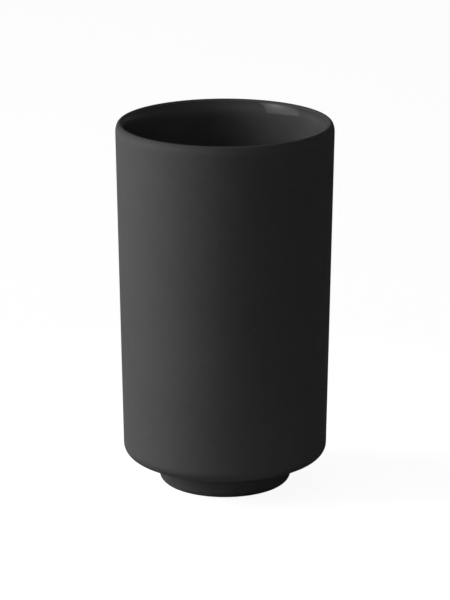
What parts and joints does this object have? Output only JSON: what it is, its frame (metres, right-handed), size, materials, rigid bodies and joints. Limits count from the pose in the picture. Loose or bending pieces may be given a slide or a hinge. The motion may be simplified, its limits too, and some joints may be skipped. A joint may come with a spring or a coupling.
{
  "type": "toothbrush tumbler",
  "caption": "Tall round ceramic tumbler with a soft rolled lip, a slightly drafted matte wall, a gloss-glazed inside and a narrow foot ring, for standing toothbrushes in.",
  "frame": {"origin": "on the tumbler's axis, in the plane of the surface that it stands on", "axes": "+Z is the tumbler's axis and points up through the mouth; X and Y are level and alike, because the tumbler is round"},
  "size_m": [0.07, 0.07, 0.1204],
  "materials": {
    "matte_stoneware": "smooth matte black glaze, satin at a glancing angle",
    "gloss_glaze": "gloss black glaze",
    "silicone": "dull black silicone"
  },
  "bodies": {
    "root": {"tumbler_body": "matte_stoneware", "interior_glaze": "gloss_glaze", "anti_slip_ring": "silicone"}
  },
  "joints": []
}
